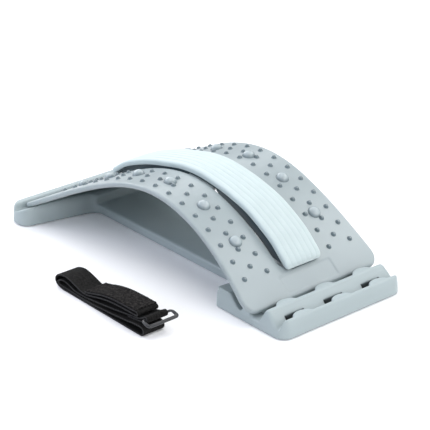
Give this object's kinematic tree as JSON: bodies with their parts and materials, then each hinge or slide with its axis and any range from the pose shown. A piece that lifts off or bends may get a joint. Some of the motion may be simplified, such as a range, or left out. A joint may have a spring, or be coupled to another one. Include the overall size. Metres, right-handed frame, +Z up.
{
  "type": "lumbar back stretcher",
  "caption": "Arched back stretcher with a nubbed massage board on a notched base, a foam spine strip and a folded strap with a ring.",
  "frame": {"origin": "centre of the base's flat underside", "axes": "+X along the base to its notched foot bar, +Y across the board, +Z up; the folded strap lies on the -Y side"},
  "size_m": [0.3948, 0.2938, 0.0976],
  "materials": {
    "grey_plastic": "fine matt moulding",
    "board_plastic": "satin moulding",
    "carrier_plastic": "satin",
    "pale_foam": "soft matt foam",
    "grey_rubber": "matt",
    "black_webbing": "woven",
    "black_pile": "fuzzy pile",
    "black_plastic": "gloss"
  },
  "bodies": {
    "base": {"base": "grey_plastic", "pad_foot_near": "grey_rubber", "pad_foot_far": "grey_rubber", "pad_head_near": "grey_rubber", "pad_head_far": "grey_rubber"},
    "board": {"board": "board_plastic", "spine_carrier": "carrier_plastic", "foam_pad": "pale_foam"},
    "strap": {"strap": "black_webbing", "pile_tape": "black_pile"},
    "ring": {"buckle_ring": "black_plastic"}
  },
  "joints": [
    {"name": "board_tilt", "type": "hinge", "parent": "base", "child": "board", "pos_m": [-0.18243, 0, 0.01688], "axis": [0, -1, 0], "range_deg": [0, 40]},
    {"name": "strap_lift", "type": "slide", "parent": "base", "child": "strap", "axis": [0, 0, 1], "range_m": [0, 0.1]},
    {"name": "ring_turn", "type": "hinge", "parent": "strap", "child": "ring", "pos_m": [0.102, -0.1545, 0.0158], "axis": [0, -1, 0], "range_deg": [0, 55]}
  ]
}
